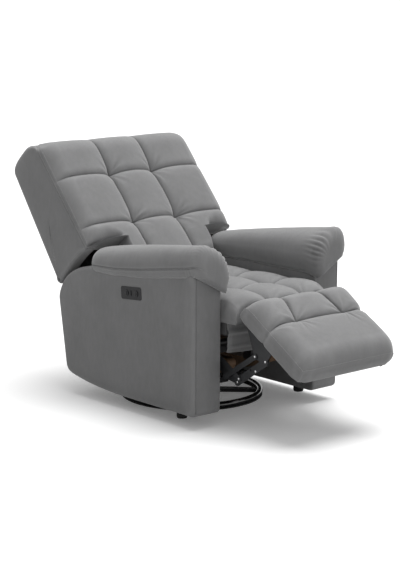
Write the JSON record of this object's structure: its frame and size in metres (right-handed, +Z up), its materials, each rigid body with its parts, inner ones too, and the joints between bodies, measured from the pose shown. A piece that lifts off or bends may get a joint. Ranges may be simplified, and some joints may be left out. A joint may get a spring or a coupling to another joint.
{
  "type": "power swivel recliner",
  "caption": "Power recliner in tufted grey fabric on a black swivel ring, with its footrest out and its back laid back.",
  "frame": {"origin": "on the floor, on the swivel axis", "axes": "+X to the left of the person who sits in it, -Y the way that person faces, +Z up"},
  "size_m": [0.786, 1.586, 1.017],
  "materials": {
    "fabric": "matt suede",
    "black_tube": "gloss",
    "dark_steel": "satin",
    "bright_steel": "zinc plated",
    "timber": "plain ply",
    "black_rubber": "matt",
    "black_plastic": "fine texture"
  },
  "bodies": {
    "base": {"floor_strip": "black_rubber", "ring_tube": "black_tube", "star_base": "dark_steel", "lower_race": "bright_steel", "bearing_balls": "bright_steel", "king_pin": "bright_steel"},
    "turntable": {"upper_race": "bright_steel", "turn_plate": "dark_steel", "crossbar_front": "dark_steel", "crossbar_rear": "dark_steel", "rocker_rail_left": "dark_steel", "rocker_rail_right": "dark_steel"},
    "chassis": {"rocker_springs": "bright_steel", "rocker_cam_left": "timber", "rocker_cam_right": "timber", "cross_tube_front": "dark_steel", "cross_tube_rear": "dark_steel", "side_plate_left": "dark_steel", "side_plate_right": "dark_steel", "seat_rail_left": "timber", "seat_rail_right": "timber", "seat_rail_front": "timber", "seat_rail_rear": "timber", "seat_wires": "bright_steel", "seat_cushion": "fabric", "front_cloth": "fabric", "arm_brackets": "dark_steel", "arm_left": "fabric", "arm_right": "fabric", "arm_pad_left": "fabric", "arm_pad_right": "fabric", "arm_feet": "black_plastic", "switch_plate": "black_plastic", "drive_track": "bright_steel", "drive_motor": "black_plastic", "power_inlet": "black_plastic"},
    "back": {"back_brackets": "dark_steel", "back_stiles": "timber", "back_rail_top": "timber", "back_rail_middle": "timber", "back_rail_low": "timber", "back_wires": "bright_steel", "back_wing_left": "fabric", "back_wing_right": "fabric", "back_cover_rear": "fabric", "back_cover_top": "fabric", "back_cushion": "fabric"},
    "front_link": {"torque_tube": "dark_steel", "front_links": "dark_steel"},
    "carrier_link": {"carrier_links": "dark_steel"},
    "footrest": {"foot_brackets": "dark_steel", "foot_board": "timber", "foot_cushion": "fabric"},
    "guide_link": {"guide_links": "dark_steel"},
    "control_link": {"control_links": "dark_steel"},
    "slider": {"drive_block": "black_plastic"},
    "open_key": {"button_open": "black_plastic"},
    "close_key": {"button_close": "black_plastic"}
  },
  "joints": [
    {"name": "swivel", "type": "hinge", "parent": "base", "child": "turntable", "pos_m": [0, 0, 0], "axis": [0, 0, 1], "continuous": true},
    {"name": "rock", "type": "hinge", "parent": "turntable", "child": "chassis", "pos_m": [0, 0, 0.1081], "axis": [1, 0, 0], "range_deg": [-2.5, 2.2], "deforming": ["rocker_springs"]},
    {"name": "recline", "type": "hinge", "parent": "chassis", "child": "back", "pos_m": [0, 0.07, 0.385], "axis": [1, 0, 0], "range_deg": [-3.5, 26]},
    {"name": "footrest_drive", "type": "hinge", "parent": "chassis", "child": "front_link", "pos_m": [0, -0.33, 0.29], "axis": [1, 0, 0], "range_deg": [-10, 43.4]},
    {"name": "carrier_pivot", "type": "hinge", "parent": "front_link", "child": "carrier_link", "pos_m": [0, -0.518, 0.181], "axis": [1, 0, 0], "range_deg": [-71.29, 16.73]},
    {"name": "footrest_pivot", "type": "hinge", "parent": "carrier_link", "child": "footrest", "pos_m": [0, -0.672, 0.287], "axis": [1, 0, 0], "range_deg": [-20.1, 85.89]},
    {"name": "guide_pivot", "type": "hinge", "parent": "chassis", "child": "guide_link", "pos_m": [0, -0.3569, 0.3007], "axis": [1, 0, 0], "range_deg": [-11.49, 48.54]},
    {"name": "control_pivot", "type": "hinge", "parent": "front_link", "child": "control_link", "pos_m": [0, -0.4567, 0.1909], "axis": [1, 0, 0], "range_deg": [-67.07, 15.76]},
    {"name": "drive_slide", "type": "slide", "parent": "chassis", "child": "slider", "axis": [0, 1, 0], "range_m": [-0.00902, 0.03782]},
    {"name": "open_button", "type": "slide", "parent": "chassis", "child": "open_key", "axis": [1, 0, 0], "range_m": [0, 0.0015], "stiffness_N_per_m": 900, "springref_m": -0.0004},
    {"name": "close_button", "type": "slide", "parent": "chassis", "child": "close_key", "axis": [1, 0, 0], "range_m": [0, 0.0015], "stiffness_N_per_m": 900, "springref_m": -0.0004}
  ],
  "couplings": [
    {"joint": "carrier_pivot", "follows": "footrest_drive", "ratio": -1.6334},
    {"joint": "footrest_pivot", "follows": "footrest_drive", "ratio": 1.9699},
    {"joint": "guide_pivot", "follows": "footrest_drive", "ratio": 1.1092},
    {"joint": "control_pivot", "follows": "footrest_drive", "ratio": -1.5363},
    {"joint": "drive_slide", "follows": "footrest_drive", "m_per_rad": 0.0494}
  ]
}
